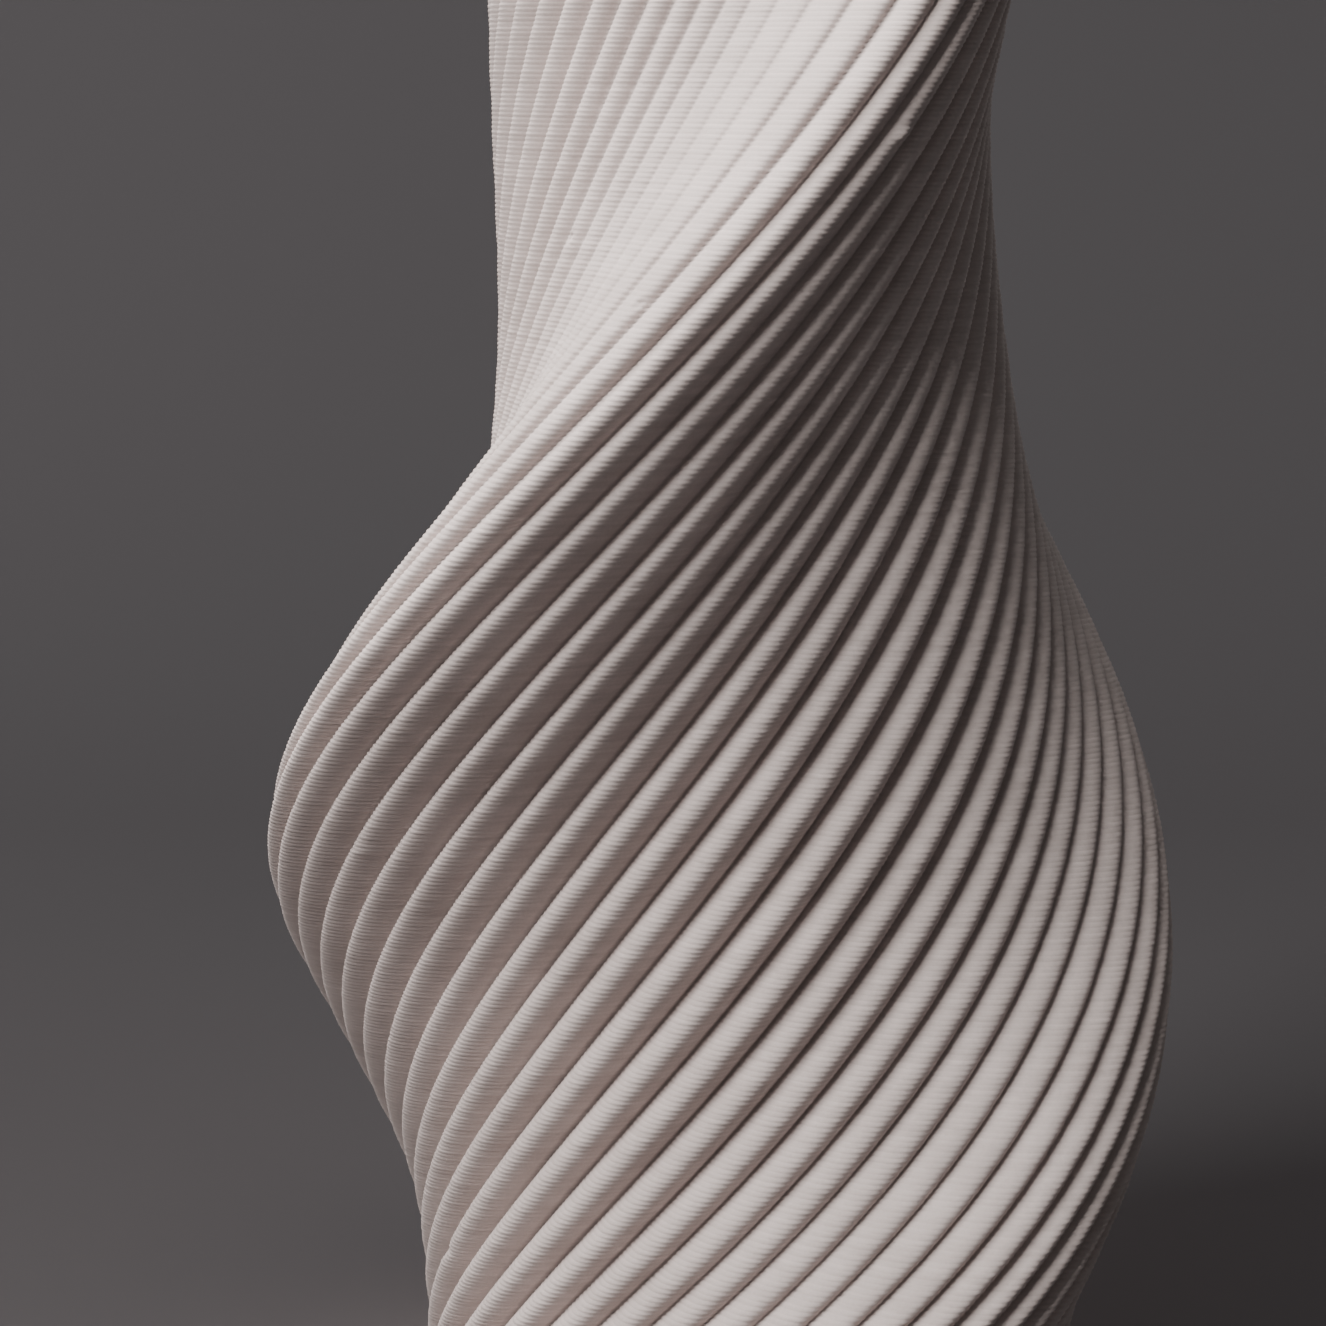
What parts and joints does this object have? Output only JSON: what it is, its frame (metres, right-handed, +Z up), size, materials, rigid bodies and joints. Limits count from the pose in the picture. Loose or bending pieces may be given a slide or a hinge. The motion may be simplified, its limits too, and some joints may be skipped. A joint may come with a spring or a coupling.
{
  "type": "vase",
  "caption": "Tall twisted clay vase with a leaf-shaped section, a sharp spiralling ridge and fluted ribs, printed in fine layers, open at the top and closed by a flat floor.",
  "frame": {"origin": "middle of the underside, on the axis that the section twists about", "axes": "+Z up towards the open rim; -Y is the side seen in the picture; +X to its right"},
  "size_m": [0.2013, 0.2126, 0.36],
  "materials": {
    "fired_clay": "matte, unglazed"
  },
  "bodies": {
    "root": {"printed_floor": "fired_clay", "printed_wall": "fired_clay"}
  },
  "joints": []
}
